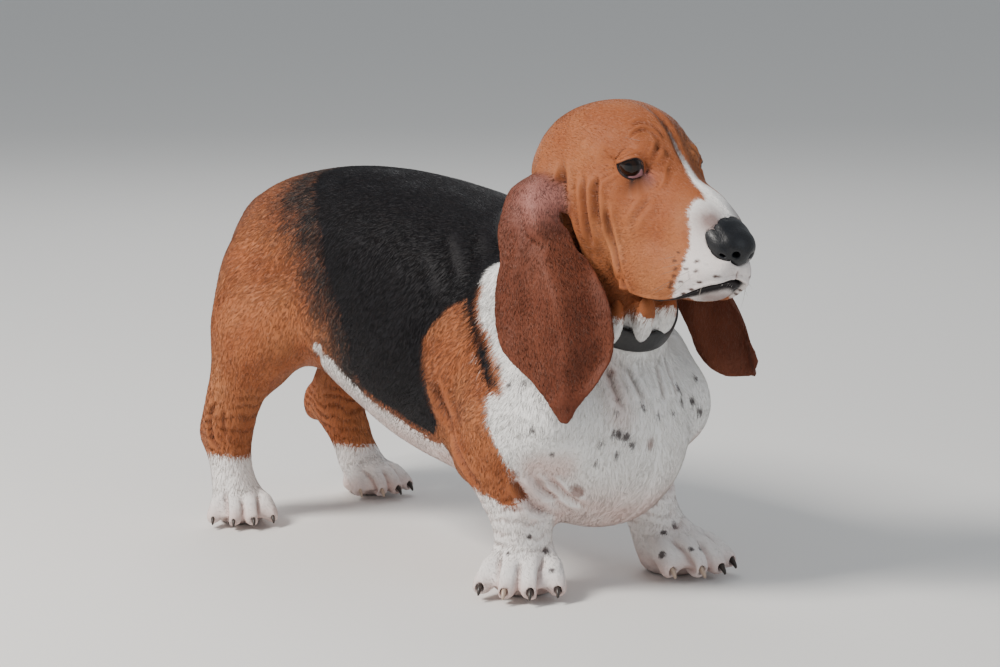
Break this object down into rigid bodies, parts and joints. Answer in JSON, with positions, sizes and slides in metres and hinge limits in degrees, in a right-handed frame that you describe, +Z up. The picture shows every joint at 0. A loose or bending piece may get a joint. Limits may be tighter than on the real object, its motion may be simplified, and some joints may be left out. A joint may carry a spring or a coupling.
{
  "type": "basset hound",
  "caption": "Life-size still model of a standing basset hound with long hanging ears, a long low body, short wrinkled legs and a plain strap collar.",
  "frame": {"origin": "on the floor, at the bottom centre of the dog's box", "axes": "+X the way the dog faces, +Y to its left side, +Z up from the floor"},
  "size_m": [0.7858, 0.2838, 0.47],
  "materials": {
    "tan_coat": "short red-brown hair lying flat over folded skin, soft satin sheen",
    "ear_coat": "very short dark red-brown hair with a fine velvety sheen",
    "black_coat": "short glossy black hair lying flat",
    "white_coat": "short white hair with grey and tan spots over pink skin",
    "nose_leather": "moist pebbled black skin",
    "eye": "wet, dark brown with a black pupil",
    "claw": "smooth horn, dark on most toes and pale on a few",
    "collar_strap": "worn black strap, soft sheen"
  },
  "bodies": {
    "root": {"claw_fore_left_1": "claw", "claw_fore_left_2": "claw", "claw_fore_left_3": "claw", "claw_fore_left_4": "claw", "claw_fore_right_1": "claw", "claw_fore_right_2": "claw", "claw_fore_right_3": "claw", "claw_fore_right_4": "claw", "claw_hind_left_1": "claw", "claw_hind_left_2": "claw", "claw_hind_left_3": "claw", "claw_hind_left_4": "claw", "claw_hind_right_1": "claw", "claw_hind_right_2": "claw", "claw_hind_right_3": "claw", "claw_hind_right_4": "claw", "collar": "collar_strap", "ear_left": "ear_coat", "ear_right": "ear_coat", "eye_left": "eye", "eye_right": "eye", "foreleg_left": "white_coat", "foreleg_right": "white_coat", "head": "tan_coat", "hindleg_left": "tan_coat", "hindleg_right": "tan_coat", "lower_jaw": "tan_coat", "neck": "white_coat", "nose": "nose_leather", "tail": "tan_coat", "torso": "black_coat"}
  },
  "joints": []
}
